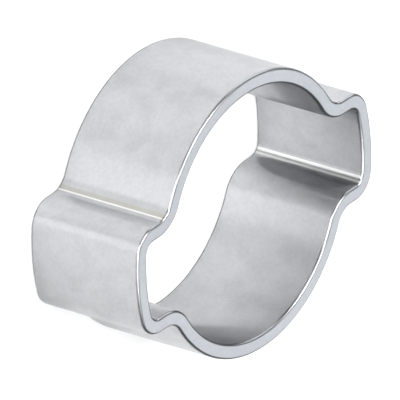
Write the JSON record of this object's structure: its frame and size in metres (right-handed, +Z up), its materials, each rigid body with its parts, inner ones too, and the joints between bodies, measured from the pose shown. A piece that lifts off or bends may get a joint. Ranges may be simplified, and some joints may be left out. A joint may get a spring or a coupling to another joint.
{
  "type": "two-ear hose clamp",
  "caption": "Closed stainless band with two opposite hollow ears that are pinched to tighten it around a hose.",
  "frame": {"origin": "on the bore axis, in the plane of the lower rim", "axes": "+Z up along the bore axis, ears along +X and -X"},
  "size_m": [0.026, 0.0202, 0.009],
  "materials": {
    "band_steel": "tumbled satin stainless steel with polished edges"
  },
  "bodies": {
    "root": {"clamp_band": "band_steel"}
  },
  "joints": []
}
